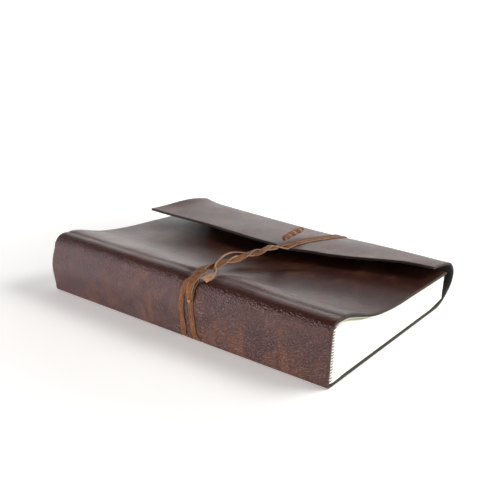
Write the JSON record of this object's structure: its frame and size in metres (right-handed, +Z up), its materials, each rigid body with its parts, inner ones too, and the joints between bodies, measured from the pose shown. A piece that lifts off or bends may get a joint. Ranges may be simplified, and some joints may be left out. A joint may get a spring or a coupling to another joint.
{
  "type": "wrap notebook cover",
  "caption": "Soft leather wrap cover with a fore-edge band and fold-over flap, holding a thick sewn page block and tied shut with a leather lace.",
  "frame": {"origin": "middle of the underside of the closed book, on the surface that it lies on", "axes": "+X along the spine from its left end to its right end as seen from the spine side, +Y from the spine to the fore-edge, +Z up through the front cover"},
  "size_m": [0.3, 0.2468, 0.0622],
  "materials": {
    "outer_leather": "dark brown pull-up hide with a fine pebble grain and a soft sheen, redder at the folds",
    "lining_leather": "near-black split leather, matt",
    "lace_leather": "tan-brown suede lace, paler on its cut edges",
    "page_paper": "uncoated cream-white paper",
    "endpaper": "uncoated heavier cream paper",
    "binding_cloth": "open-weave cotton mull and linen tape with dried glue"
  },
  "bodies": {
    "book": {"back_cover_leather": "outer_leather", "back_endpaper": "endpaper", "back_lining_fore_side": "lining_leather", "back_lining_spine_side": "lining_leather", "front_endpaper": "endpaper", "lace_flat_tail": "lace_leather", "lace_spine_1": "lace_leather", "lace_spine_2": "lace_leather", "lace_under_1": "lace_leather", "lace_under_2": "lace_leather", "page_section_01": "page_paper", "page_section_02": "page_paper", "page_section_03": "page_paper", "page_section_04": "page_paper", "page_section_05": "page_paper", "page_section_06": "page_paper", "page_section_07": "page_paper", "page_section_08": "page_paper", "page_section_09": "page_paper", "page_section_10": "page_paper", "page_section_11": "page_paper", "page_section_12": "page_paper", "page_section_13": "page_paper", "page_section_14": "page_paper", "page_section_15": "page_paper", "page_section_16": "page_paper", "page_section_17": "page_paper", "page_section_18": "page_paper", "page_section_19": "page_paper", "sewing_tape_1": "binding_cloth", "sewing_tape_2": "binding_cloth", "sewing_tape_3": "binding_cloth", "sewing_tape_4": "binding_cloth", "spine_leather": "outer_leather", "spine_lining": "lining_leather", "spine_mull": "binding_cloth"},
    "front_cover": {"front_cover_leather": "outer_leather", "front_cover_lining": "lining_leather", "lace_cover_1": "lace_leather", "lace_cover_2": "lace_leather", "lace_loop_tail": "lace_leather"},
    "band_lower": {"band_lower_leather": "outer_leather", "band_lower_lining": "lining_leather", "lace_band_lower_1": "lace_leather", "lace_band_lower_2": "lace_leather"},
    "band_upper": {"band_upper_leather": "outer_leather", "band_upper_lining": "lining_leather", "lace_band_upper_1": "lace_leather", "lace_band_upper_2": "lace_leather"},
    "flap": {"flap_leather": "outer_leather", "flap_lining": "lining_leather", "lace_coil_tail": "lace_leather", "lace_flap_1": "lace_leather", "lace_flap_2": "lace_leather"}
  },
  "joints": [
    {"name": "front_cover_hinge", "type": "hinge", "parent": "book", "child": "front_cover", "pos_m": [0, -0.11633, 0.05115], "axis": [1, 0, 0], "range_deg": [0, 178]},
    {"name": "band_fold", "type": "hinge", "parent": "book", "child": "band_lower", "pos_m": [0, 0.09519, 0.00155], "axis": [-1, 0, 0], "range_deg": [0, 30]},
    {"name": "band_roll", "type": "hinge", "parent": "band_lower", "child": "band_upper", "pos_m": [0, 0.12054, 0.01947], "axis": [-1, 0, 0], "range_deg": [0, 69]},
    {"name": "flap_fold", "type": "hinge", "parent": "band_upper", "child": "flap", "pos_m": [0, 0.11593, 0.0398], "axis": [-1, 0, 0], "range_deg": [0, 70]}
  ],
  "couplings": [
    {"joint": "band_roll", "follows": "band_fold", "ratio": 2.3}
  ]
}
